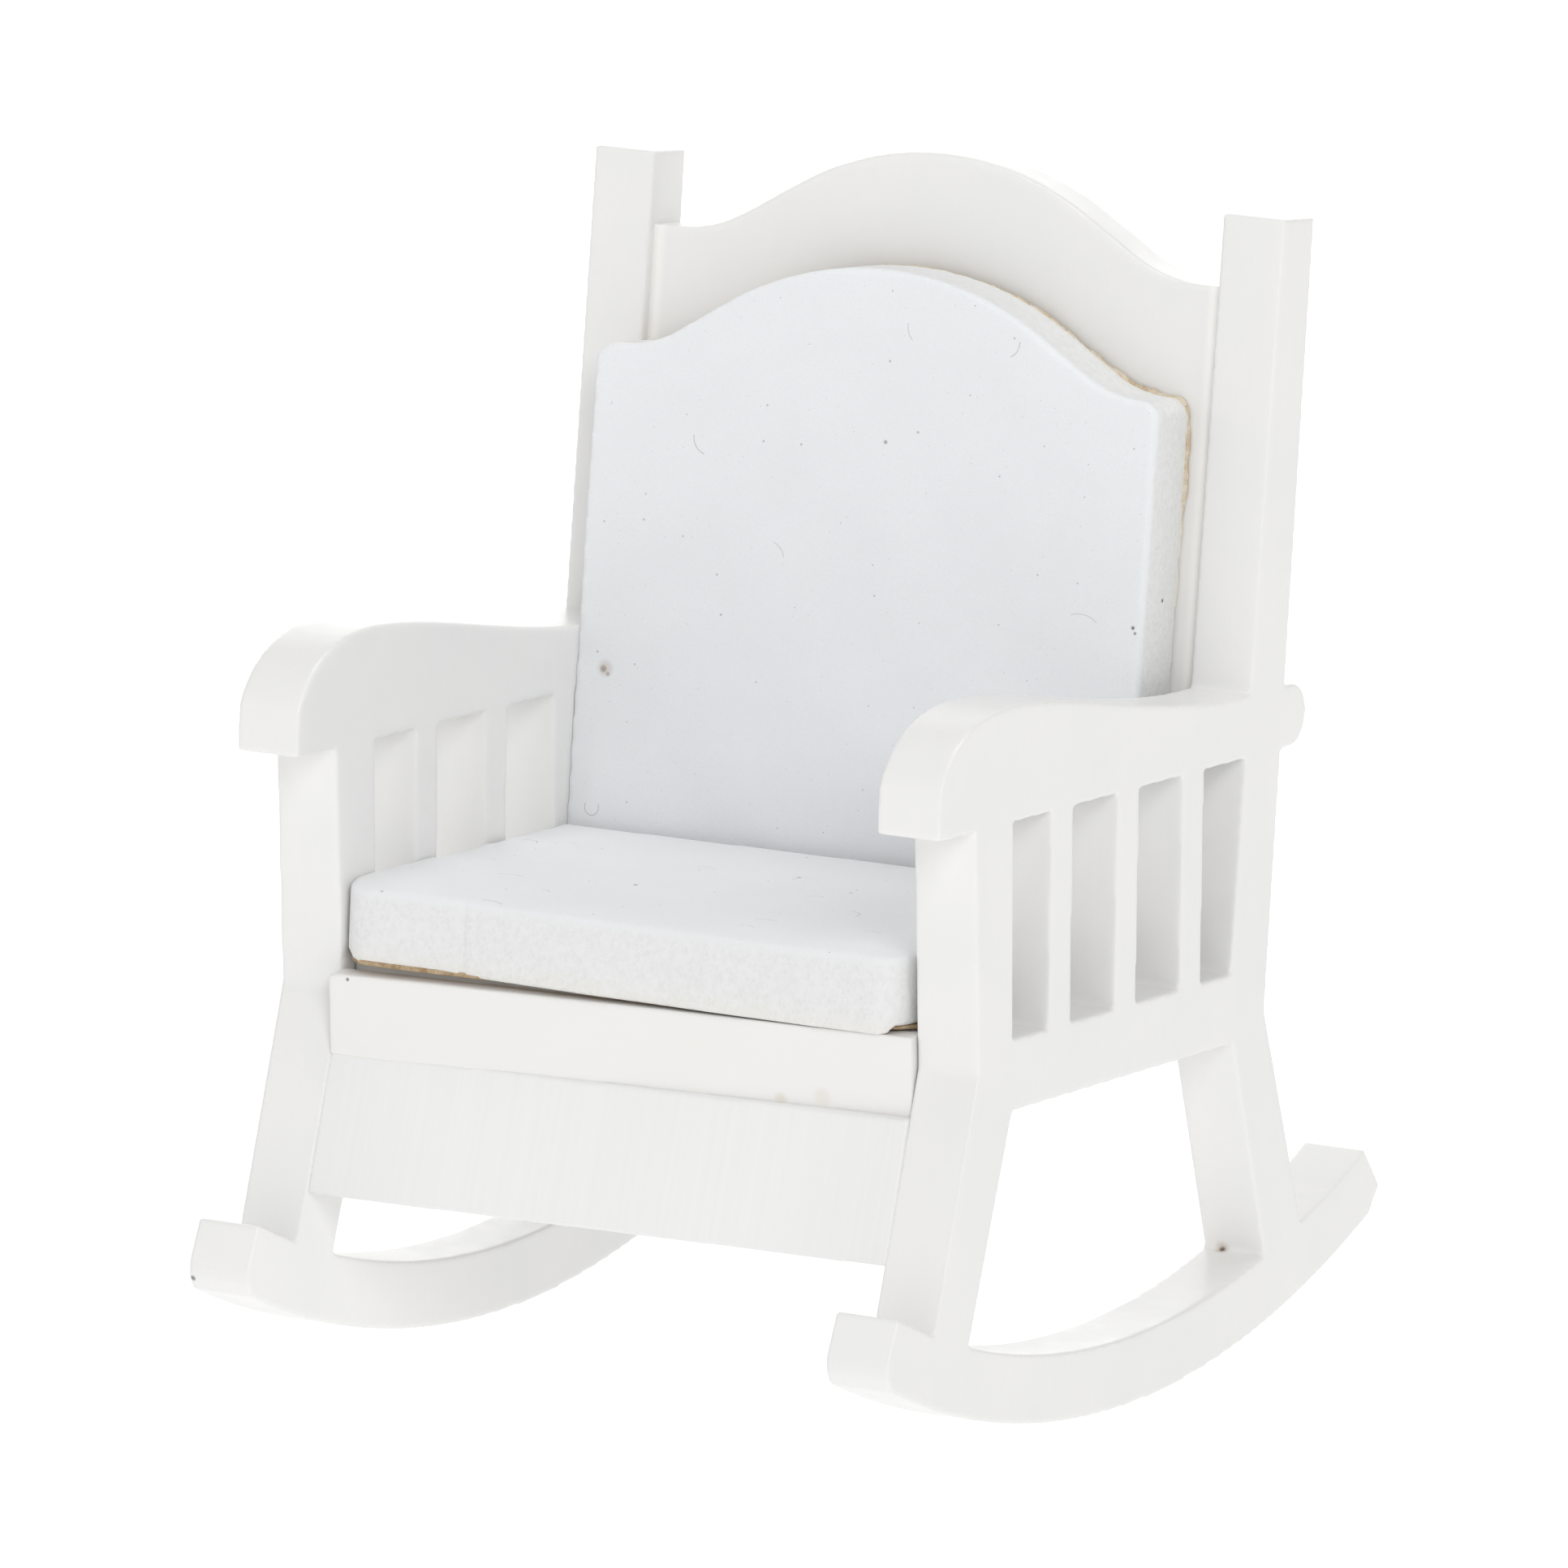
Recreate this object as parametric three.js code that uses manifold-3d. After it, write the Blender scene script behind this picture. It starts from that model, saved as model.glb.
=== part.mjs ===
// A 1:12 dolls' house rocking chair: two flush side frames, a back board, a seat board with a
// front rail and apron, and two foam cushions with a smooth face and a tan backing.
// Millimetres. X runs across the chair, -Y is the front, +Z is up, and Z = 0 is the floor.
// The left side is the one on -X.

import * as THREE from 'three';
import { mergeVertices } from 'three/addons/utils/BufferGeometryUtils.js';
import Module from 'manifold-3d';

const wasm = await Module();
wasm.setup();

// Side frames
const WIDTH = 60;
const STOCK = 5.25;
const INNER_WIDTH = WIDTH - 2 * STOCK;
const GLUE_LINE = 0.05;

// Rockers
const ROCKER_RADIUS = 96.5;
const ROCKER_DEPTH = 5.2;
const ROCKER_CENTRE_Y = 4;
const ROCKER_REST_HALF = 3.1;
const ROCKER_FRONT_Y = -39.1;
const ROCKER_REAR_Y = 39.1;

// Seat pitch: the arm's underside, the side rails and the seat all fall this much per millimetre
const PITCH = 0.0734;
const UNDER_ARM_Z = 47.6;
const RAIL_TOP_Z = 31.05;
const RAIL_DEPTH = 5.45;

// Front leg
const LEG_REAR_Y = -20.2;
const LEG_FRONT_TOP_Y = -25.9;
const LEG_FRONT_KNEE = [-25.3, 30.8];
const LEG_FRONT_FOOT_Y = -31.9;
const LEG_REAR_FOOT_Y = -26.8;

// Back post and rear leg
const RECLINE = 0.1376;
const POST_FRONT_AT_ARM = [17.3, 51.2];
const POST_REAR_LEAN = 0.1196;
const POST_REAR_KNEE = [19.8, 26];
const POST_FRONT_KNEE_Z = 27.2;
const POST_TOP_Z = 86.9;
const POST_FRONT_FOOT_Y = 20.2;
const POST_REAR_FOOT_Y = 26.05;

// Arm
const ARM_NOSE_Y = -31.5;
const ARM_CREASE_Z = 53.3;
const ARM_PEAK = [-22, 57.9];
const ARM_TOP_AT_POST = [14, 51.4];
const ARM_REAR_Y = 26.2;
const ARM_REAR_RADIUS = 2.4;

// Slats between arm and side rail
const SLAT_WIDTH = 3.3;
const SLAT_FIRST_Y = -12.9;
const SLAT_SPACING = 10.35;
const SLAT_LEAN = 0.025;
const SLATS = 3;

// Back board, in its own leaning plane: heights are measured from the arm's top along the lean
const BACK_RECESS = 0.7;
const BACK_THICKNESS = 4.2;
const BACK_FOOT = -23;
const CREST_SHOULDER = 30.4;
const CREST_PEAK = 38.2;
const CREST_HALF_SPAN = 23;
const CREST_ARCH_RADIUS = 24;
const CREST_DIP_RADIUS = 12;

// Seat, front rail and apron
const SEAT_TOP_Z = 31.45;
const BOARD_THICKNESS = 3;
const BOARD_FRONT_Y = -23.6;
const RAIL_FRONT_Y = -26.55;
const RAIL_THICKNESS = 2.2;
const RAIL_HEIGHT = 6.1;
const RAIL_CENTRE_Z = 29.75;
const APRON_TOP_Z = 26.6;
const APRON_FOOT_Z = 16.45;
const APRON_THICKNESS = 1.9;
const FRONT_END_GAP = 0.15;
const FRONT_TILT = THREE.MathUtils.degToRad(-1);
const FRONT_SKEW = THREE.MathUtils.degToRad(1.3);

// Cushions
const FOAM = 5.15;
const FACE = 0.3;
const BACKING = 0.4;
const SEAT_CUSHION_LEFT = -24.3;
const SEAT_CUSHION_RIGHT = 23.7;
const SEAT_CUSHION_FRONT_Y = -26.3;
const SEAT_CUSHION_REAR_Y = 6.8;
const SEAT_CORNER_RADIUS = 2.5;
const BACK_CUSHION_WIDTH = 47.4;
const BACK_CUSHION_RIGHT = 22.8;
const BACK_CUSHION_FOOT = -20.9;
const BACK_CUSHION_SHOULDER = 21.7;
const BACK_CUSHION_PEAK = 29.5;
const BACK_CUSHION_ARCH_RADIUS = 25;
const BACK_CUSHION_DIP_RADIUS = 9;
const BACK_CORNER_RADIUS = 1.5;
const BACK_CUSHION_SKEW = THREE.MathUtils.degToRad(2.1);

const ARC_STEPS = 20;

const paintedWood = () => new THREE.MeshStandardMaterial({ color: 0xf1f0ee, roughness: 0.4, metalness: 0 });
const foamCore = () => new THREE.MeshStandardMaterial({ color: 0xe4e8e6, roughness: 0.95, metalness: 0 });
const foamFace = () => new THREE.MeshStandardMaterial({ color: 0xe5e9ee, roughness: 0.7, metalness: 0 });
const tanBacking = () => new THREE.MeshStandardMaterial({ color: 0xb9a48a, roughness: 0.9, metalness: 0 });

// Lines that the side frame's members share, as heights or depths

const underArm = (y) => UNDER_ARM_Z - PITCH * y;
const railTop = (y) => RAIL_TOP_Z - PITCH * y;
const seatTop = (y) => SEAT_TOP_Z - PITCH * y;
const railFoot = (y) => railTop(y) - RAIL_DEPTH;
const postFront = (z) => POST_FRONT_AT_ARM[0] + RECLINE * (z - POST_FRONT_AT_ARM[1]);
const postRear = (z) => POST_REAR_KNEE[0] + POST_REAR_LEAN * (z - POST_REAR_KNEE[1]);
const rockerAngle = (y, radius) => -Math.acos((y - ROCKER_CENTRE_Y) / radius);
const rockerHeight = (y, radius) => ROCKER_RADIUS + radius * Math.sin(rockerAngle(y, radius));

const ROCKER_TOP_RADIUS = ROCKER_RADIUS - ROCKER_DEPTH;
const FOOT_RADIUS = ROCKER_TOP_RADIUS - GLUE_LINE;

function polygon(points) {
  return new THREE.Shape(points.map(([a, b]) => new THREE.Vector2(a, b)));
}

function extrude(shape, depth) {
  return new THREE.ExtrudeGeometry(shape, { depth, bevelEnabled: false, curveSegments: ARC_STEPS });
}

function toSolid(geometry) {
  const bare = geometry.clone();
  bare.deleteAttribute('normal');
  bare.deleteAttribute('uv');
  const merged = mergeVertices(bare, 1e-4);
  return new wasm.Manifold(new wasm.Mesh({
    numProp: 3,
    vertProperties: new Float32Array(merged.attributes.position.array),
    triVerts: new Uint32Array(merged.index.array),
  }));
}

function cut(geometry, cutter) {
  const result = toSolid(geometry).subtract(toSolid(cutter)).getMesh();
  const cutGeometry = new THREE.BufferGeometry();
  cutGeometry.setAttribute('position', new THREE.BufferAttribute(result.vertProperties, 3));
  cutGeometry.setIndex(new THREE.BufferAttribute(result.triVerts, 1));
  cutGeometry.computeVertexNormals();
  return cutGeometry;
}

function named(name, geometry, material) {
  const mesh = new THREE.Mesh(geometry, material);
  mesh.name = name;
  return mesh;
}

// Side frame outlines, drawn in depth and height

function rockerShape() {
  const heel = Math.asin(ROCKER_REST_HALF / ROCKER_RADIUS);
  const shape = new THREE.Shape();
  shape.moveTo(ROCKER_CENTRE_Y - ROCKER_REST_HALF, 0);
  shape.lineTo(ROCKER_CENTRE_Y + ROCKER_REST_HALF, 0);
  shape.absarc(ROCKER_CENTRE_Y, ROCKER_RADIUS, ROCKER_RADIUS,
    heel - Math.PI / 2, rockerAngle(ROCKER_REAR_Y - 1.7, ROCKER_RADIUS), false);
  shape.lineTo(ROCKER_REAR_Y, 7.9);
  shape.absarc(ROCKER_CENTRE_Y, ROCKER_RADIUS, ROCKER_TOP_RADIUS,
    rockerAngle(ROCKER_REAR_Y - 2.5, ROCKER_TOP_RADIUS),
    rockerAngle(ROCKER_FRONT_Y + 1.6, ROCKER_TOP_RADIUS), true);
  shape.lineTo(ROCKER_FRONT_Y, 12);
  shape.lineTo(ROCKER_FRONT_Y, 11);
  shape.absarc(ROCKER_CENTRE_Y, ROCKER_RADIUS, ROCKER_RADIUS,
    rockerAngle(ROCKER_FRONT_Y + 0.5, ROCKER_RADIUS), -Math.PI / 2 - heel, false);
  return shape;
}

function frontLegShape() {
  const top = (y) => underArm(y) - GLUE_LINE;
  const shape = new THREE.Shape();
  shape.moveTo(LEG_FRONT_TOP_Y, top(LEG_FRONT_TOP_Y));
  shape.lineTo(...LEG_FRONT_KNEE);
  shape.absarc(ROCKER_CENTRE_Y, ROCKER_RADIUS, FOOT_RADIUS,
    rockerAngle(LEG_FRONT_FOOT_Y, FOOT_RADIUS), rockerAngle(LEG_REAR_FOOT_Y, FOOT_RADIUS), false);
  shape.lineTo(LEG_REAR_Y, railFoot(LEG_REAR_Y));
  shape.lineTo(LEG_REAR_Y, top(LEG_REAR_Y));
  return shape;
}

function backPostShape() {
  const topRise = (POST_TOP_Z - POST_REAR_KNEE[1]);
  const topDepth = postRear(POST_TOP_Z) - postFront(POST_TOP_Z);
  const shape = new THREE.Shape();
  shape.moveTo(postFront(POST_TOP_Z), POST_TOP_Z);
  shape.lineTo(postFront(POST_FRONT_KNEE_Z), POST_FRONT_KNEE_Z);
  shape.absarc(ROCKER_CENTRE_Y, ROCKER_RADIUS, FOOT_RADIUS,
    rockerAngle(POST_FRONT_FOOT_Y, FOOT_RADIUS), rockerAngle(POST_REAR_FOOT_Y, FOOT_RADIUS), false);
  shape.lineTo(...POST_REAR_KNEE);
  const rearTopZ = POST_REAR_KNEE[1] + topRise - RECLINE * topDepth;
  shape.lineTo(postRear(rearTopZ), rearTopZ);
  return shape;
}

function armShape() {
  const lean = Math.atan(PITCH);
  const rearCentreY = ARM_REAR_Y - ARM_REAR_RADIUS;
  const rearCentre = [rearCentreY, underArm(rearCentreY) + ARM_REAR_RADIUS / Math.cos(lean)];
  const shape = new THREE.Shape();
  shape.moveTo(ARM_NOSE_Y + 0.2, ARM_CREASE_Z);
  shape.lineTo(ARM_NOSE_Y, underArm(ARM_NOSE_Y));
  shape.absarc(...rearCentre, ARM_REAR_RADIUS, -Math.PI / 2 - lean, Math.PI / 2 - lean, false);
  shape.lineTo(...ARM_TOP_AT_POST);
  shape.bezierCurveTo(2, 52.5, -14, ARM_PEAK[1], ...ARM_PEAK);
  shape.bezierCurveTo(-26.5, ARM_PEAK[1], -29.9, 56.2, ARM_NOSE_Y + 0.2, ARM_CREASE_Z);
  return shape;
}

function sideRailShape() {
  const front = LEG_REAR_Y + GLUE_LINE;
  const rear = (y) => y - GLUE_LINE;
  const topRear = rear(postFront(railTop(14.4)));
  const footRear = rear(14.85);
  return polygon([
    [front, railTop(front)],
    [front, railFoot(front)],
    [footRear, railFoot(footRear)],
    [rear(postFront(POST_FRONT_KNEE_Z)), POST_FRONT_KNEE_Z],
    [topRear, railTop(topRear)],
  ]);
}

function slatShape(index) {
  const middle = SLAT_FIRST_Y + index * SLAT_SPACING;
  const at = (side, z) => middle + side * SLAT_WIDTH / 2 + SLAT_LEAN * (z - RAIL_TOP_Z);
  const foot = (side) => railTop(middle + side * SLAT_WIDTH / 2) + GLUE_LINE;
  const head = (side) => underArm(middle + side * SLAT_WIDTH / 2) - 2 * GLUE_LINE;
  return polygon([
    [at(-1, foot(-1)), foot(-1)],
    [at(1, foot(1)), foot(1)],
    [at(1, head(1)), head(1)],
    [at(-1, head(-1)), head(-1)],
  ]);
}

// Halved joint where the arm crosses the post: each loses half of its thickness to the other

function postWindow() {
  const low = 40;
  const high = 60;
  return polygon([
    [postFront(low) - GLUE_LINE, low],
    [postRear(low) + GLUE_LINE, low],
    [postRear(high) + GLUE_LINE, high],
    [postFront(high) - GLUE_LINE, high],
  ]);
}

function armWindow() {
  const front = 10;
  const rear = 30;
  const armTop = (y) => ARM_TOP_AT_POST[1] - 0.068 * (y - ARM_TOP_AT_POST[0]);
  return polygon([
    [front, underArm(front) - GLUE_LINE],
    [rear, underArm(rear) - GLUE_LINE],
    [rear, armTop(rear) + GLUE_LINE],
    [front, armTop(front) + GLUE_LINE],
  ]);
}

function halved(shape, window, fromLow) {
  const deep = STOCK / 2 + GLUE_LINE / 2;
  const cutter = extrude(window, deep + 1);
  cutter.translate(0, 0, fromLow ? -1 : STOCK - deep);
  return cut(extrude(shape, STOCK), cutter);
}

function sideFrame(side, outerIsLow) {
  const frame = new THREE.Group();
  const add = (part, geometry) => frame.add(named(`${side}_${part}`, geometry, paintedWood()));
  add('rocker', extrude(rockerShape(), STOCK));
  add('front_leg', extrude(frontLegShape(), STOCK));
  add('back_post', halved(backPostShape(), armWindow(), outerIsLow));
  add('arm', halved(armShape(), postWindow(), !outerIsLow));
  add('side_rail', extrude(sideRailShape(), STOCK));
  for (let index = 0; index < SLATS; index += 1) {
    add(`slat_${index + 1}`, extrude(slatShape(index), STOCK));
  }
  // Outlines are drawn as depth and height, so local x, y, z become Y, Z, X
  frame.quaternion.setFromRotationMatrix(new THREE.Matrix4().makeBasis(
    new THREE.Vector3(0, 1, 0), new THREE.Vector3(0, 0, 1), new THREE.Vector3(1, 0, 0)));
  return frame;
}

// Upper edge of the crest and of the back cushion: a convex arch that runs through a straight
// into a concave dip on each side, tangent throughout

function archOver(shape, centreX, shoulder, peak, halfSpan, archRadius, dipRadius) {
  const archY = peak - archRadius;
  const dipY = shoulder + dipRadius;
  const drop = archY - dipY;
  const apart = Math.hypot(halfSpan, drop);
  const tangent = Math.atan2(halfSpan, -drop) - Math.acos((archRadius + dipRadius) / apart);
  const quarter = Math.PI / 2;
  shape.absarc(centreX + halfSpan, dipY, dipRadius, -quarter, -quarter - tangent, true);
  shape.absarc(centreX, archY, archRadius, quarter - tangent, quarter + tangent, false);
  shape.absarc(centreX - halfSpan, dipY, dipRadius, tangent - quarter, -quarter, true);
}

function crestShape() {
  const half = INNER_WIDTH / 2 - GLUE_LINE;
  const shape = new THREE.Shape();
  shape.moveTo(-half, BACK_FOOT);
  shape.lineTo(half, BACK_FOOT);
  shape.lineTo(half, CREST_SHOULDER);
  archOver(shape, 0, CREST_SHOULDER, CREST_PEAK, CREST_HALF_SPAN, CREST_ARCH_RADIUS, CREST_DIP_RADIUS);
  shape.lineTo(-half, CREST_SHOULDER);
  return shape;
}

// Drawn from its right edge, which is the one that lies against the back board
function backCushionShape() {
  const left = -BACK_CUSHION_WIDTH;
  const radius = BACK_CORNER_RADIUS;
  const shoulder = BACK_CUSHION_SHOULDER;
  const shape = new THREE.Shape();
  shape.moveTo(left, BACK_CUSHION_FOOT);
  shape.lineTo(0, BACK_CUSHION_FOOT);
  shape.absarc(-radius, shoulder - radius, radius, 0, Math.PI / 2, false);
  archOver(shape, left / 2, shoulder, BACK_CUSHION_PEAK, -left / 2 - radius,
    BACK_CUSHION_ARCH_RADIUS, BACK_CUSHION_DIP_RADIUS);
  shape.absarc(left + radius, shoulder - radius, radius, Math.PI / 2, Math.PI, false);
  return shape;
}

// A smooth face and a tan backing, each stuck to one side of a slab of foam
function cushionLayers(part, shape) {
  const cushion = new THREE.Group();
  const layers = [
    ['backing', BACKING, 0, tanBacking()],
    ['foam', FOAM, BACKING + GLUE_LINE, foamCore()],
    ['face', FACE, BACKING + FOAM + 2 * GLUE_LINE, foamFace()],
  ];
  for (const [layer, depth, lift, material] of layers) {
    const mesh = named(`${part}_cushion_${layer}`, extrude(shape, depth), material);
    mesh.position.z = lift;
    cushion.add(mesh);
  }
  return cushion;
}

function backAssembly() {
  const back = new THREE.Group();
  back.position.set(0, ...POST_FRONT_AT_ARM);
  back.rotation.x = Math.PI / 2 - Math.atan(RECLINE);
  const board = named('back_board', extrude(crestShape(), BACK_THICKNESS), paintedWood());
  board.position.z = -BACK_RECESS - BACK_THICKNESS;
  back.add(board);

  // The cushion's left edge stands off the board, clear of the left post's front face
  const cushion = cushionLayers('back', backCushionShape());
  cushion.position.set(BACK_CUSHION_RIGHT, 0, GLUE_LINE - BACK_RECESS);
  cushion.rotation.y = BACK_CUSHION_SKEW;
  back.add(cushion);
  return back;
}

function seatCushionShape() {
  const left = SEAT_CUSHION_LEFT;
  const right = SEAT_CUSHION_RIGHT;
  const front = SEAT_CUSHION_FRONT_Y;
  const radius = SEAT_CORNER_RADIUS;
  const shape = new THREE.Shape();
  shape.moveTo(right, SEAT_CUSHION_REAR_Y + Math.tan(BACK_CUSHION_SKEW) * (right - left));
  shape.lineTo(left, SEAT_CUSHION_REAR_Y);
  shape.absarc(left + radius, front + radius, radius, Math.PI, 1.5 * Math.PI, false);
  shape.absarc(right - radius, front + radius, radius, -Math.PI / 2, 0, false);
  return shape;
}

function seatCushion() {
  const cushion = cushionLayers('seat', seatCushionShape());
  cushion.position.z = SEAT_TOP_Z + GLUE_LINE;
  cushion.rotation.x = -Math.atan(PITCH);
  return cushion;
}

function seatBoard() {
  const backBoardFront = (z) => postFront(z) + BACK_RECESS * Math.hypot(1, RECLINE) - GLUE_LINE;
  const rearTopZ = seatTop(15);
  const rearFootZ = rearTopZ - BOARD_THICKNESS;
  const shape = polygon([
    [BOARD_FRONT_Y, seatTop(BOARD_FRONT_Y) - BOARD_THICKNESS],
    [backBoardFront(rearFootZ), rearFootZ],
    [backBoardFront(rearTopZ), rearTopZ],
    [BOARD_FRONT_Y, seatTop(BOARD_FRONT_Y)],
  ]);
  return named('seat_board', extrude(shape, INNER_WIDTH - 2 * GLUE_LINE), paintedWood());
}

function frontApron() {
  const slope = (LEG_FRONT_KNEE[0] - LEG_FRONT_FOOT_Y)
    / (LEG_FRONT_KNEE[1] - rockerHeight(LEG_FRONT_FOOT_Y, FOOT_RADIUS));
  const front = (z) => LEG_FRONT_KNEE[0] - slope * (LEG_FRONT_KNEE[1] - z);
  const shape = polygon([
    [front(APRON_FOOT_Z), APRON_FOOT_Z],
    [front(APRON_FOOT_Z) + APRON_THICKNESS, APRON_FOOT_Z],
    [front(APRON_TOP_Z) + APRON_THICKNESS, APRON_TOP_Z],
    [front(APRON_TOP_Z), APRON_TOP_Z],
  ]);
  return named('front_apron', extrude(shape, INNER_WIDTH - 2 * FRONT_END_GAP), paintedWood());
}

function crossMembers() {
  const across = new THREE.Group();
  const toDepthAndHeight = new THREE.Matrix4().makeBasis(
    new THREE.Vector3(0, 1, 0), new THREE.Vector3(0, 0, 1), new THREE.Vector3(1, 0, 0));

  const board = seatBoard();
  board.quaternion.setFromRotationMatrix(toDepthAndHeight);
  board.position.x = GLUE_LINE - INNER_WIDTH / 2;
  across.add(board);

  // The rail and the apron were glued in slightly crooked, their right ends high
  const tiltedAt = (z) => {
    const tilted = new THREE.Group();
    tilted.position.z = z;
    tilted.rotation.y = FRONT_TILT;
    across.add(tilted);
    return tilted;
  };

  const rail = named('seat_front_rail',
    new THREE.BoxGeometry(INNER_WIDTH - 2 * FRONT_END_GAP, RAIL_THICKNESS, RAIL_HEIGHT), paintedWood());
  rail.position.y = RAIL_FRONT_Y + RAIL_THICKNESS / 2;
  rail.rotation.z = FRONT_SKEW;
  tiltedAt(RAIL_CENTRE_Z).add(rail);

  const apronCentreZ = (APRON_TOP_Z + APRON_FOOT_Z) / 2;
  const apron = frontApron();
  apron.quaternion.setFromRotationMatrix(toDepthAndHeight);
  apron.position.set(FRONT_END_GAP - INNER_WIDTH / 2, 0, -apronCentreZ);
  tiltedAt(apronCentreZ).add(apron);
  return across;
}

const chair = new THREE.Group();

const leftFrame = sideFrame('left', true);
leftFrame.position.x = -WIDTH / 2;
chair.add(leftFrame);

const rightFrame = sideFrame('right', false);
rightFrame.position.x = WIDTH / 2 - STOCK;
chair.add(rightFrame);

chair.add(backAssembly());
chair.add(seatCushion());
chair.add(crossMembers());

export default chair;
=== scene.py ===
import math

import bpy
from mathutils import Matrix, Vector


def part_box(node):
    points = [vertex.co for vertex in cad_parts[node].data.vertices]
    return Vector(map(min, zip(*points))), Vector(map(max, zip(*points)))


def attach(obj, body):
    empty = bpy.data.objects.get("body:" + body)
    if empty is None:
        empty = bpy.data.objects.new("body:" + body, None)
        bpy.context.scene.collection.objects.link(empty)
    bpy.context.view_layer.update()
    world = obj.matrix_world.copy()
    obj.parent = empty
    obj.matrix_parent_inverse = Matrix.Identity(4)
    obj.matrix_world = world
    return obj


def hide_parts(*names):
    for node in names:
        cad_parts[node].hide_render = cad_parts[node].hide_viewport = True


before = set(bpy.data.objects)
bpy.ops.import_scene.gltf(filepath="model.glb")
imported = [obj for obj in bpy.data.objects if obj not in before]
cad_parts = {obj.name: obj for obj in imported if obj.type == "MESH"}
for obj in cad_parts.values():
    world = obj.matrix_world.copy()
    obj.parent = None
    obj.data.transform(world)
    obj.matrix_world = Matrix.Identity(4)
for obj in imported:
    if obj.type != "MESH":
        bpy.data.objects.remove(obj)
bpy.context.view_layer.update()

MM = 0.001
MERGE = 0.001 * MM

# The chair's own slopes and places, in millimetres: the back leans, and the seat falls towards the rear
BACK_LEAN = math.atan(0.1376)
BACK_ORIGIN = Vector((0, 17.3, 51.2))
BACK_RECESS = 0.7
SEAT_PITCH = math.atan(0.0734)
SEAT_TOP = 31.45
SEAT_CUSHION_FRONT_Y = -26.3
CUSHION_SKEW = math.radians(2.1)
CUSHION_EDGE_X = 22.8
CUSHION_WIDTH = 47.4
CUSHION_DEPTH = 5.95
CUSHION_GLUE = 0.05
INNER_HALF = 24.75

# In millimetres: how thick the paint and the skins lie, and how far the board runs into a post and is kept there
FRAME_FILM = 0.04
BOARD_FILM = 0.03
CUSHION_FILM = 0.04
CARD_FILM = 0.02
BOARD_RUN_IN = 0.9
BOARD_CUT = 0.2

# How strongly each surface bends light
PAINT_IOR = 1.46
FOAM_IOR = 1.4
CARD_IOR = 1.4

SIDE_MEMBERS = ("rocker", "front_leg", "back_post", "arm", "side_rail", "slat_1", "slat_2", "slat_3")


def tint(red, green, blue):
    """A colour as the eye reads it, 0 to 255, turned into the linear colour that a shader needs."""
    def linear(channel):
        share = channel / 255
        return share / 12.92 if share <= 0.04045 else ((share + 0.055) / 1.055) ** 2.4
    return (linear(red), linear(green), linear(blue), 1)


# Finishes

class Wire:
    """A value, colour or direction on its way through a finish. Arithmetic on a value adds its Math nodes."""

    def __init__(self, finish, socket):
        self.finish = finish
        self.socket = socket

    def math(self, operation, *values):
        return self.finish.node("ShaderNodeMath", {"operation": operation}, dict(enumerate(values)))

    def __add__(self, other):
        return self.math("ADD", self, other)

    def __sub__(self, other):
        return self.math("SUBTRACT", self, other)

    def __rsub__(self, other):
        return self.math("SUBTRACT", other, self)

    def __mul__(self, other):
        return self.math("MULTIPLY", self, other)

    def __truediv__(self, other):
        return self.math("DIVIDE", self, other)

    def __abs__(self):
        return self.math("ABSOLUTE", self)

    def root(self):
        return self.math("SQRT", self)

    def above(self, other):
        return self.math("GREATER_THAN", self, other)

    def below(self, other):
        return self.math("LESS_THAN", self, other)

    def either(self, other):
        return self.math("MAXIMUM", self, other)

    __radd__ = __add__
    __rmul__ = __mul__


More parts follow.
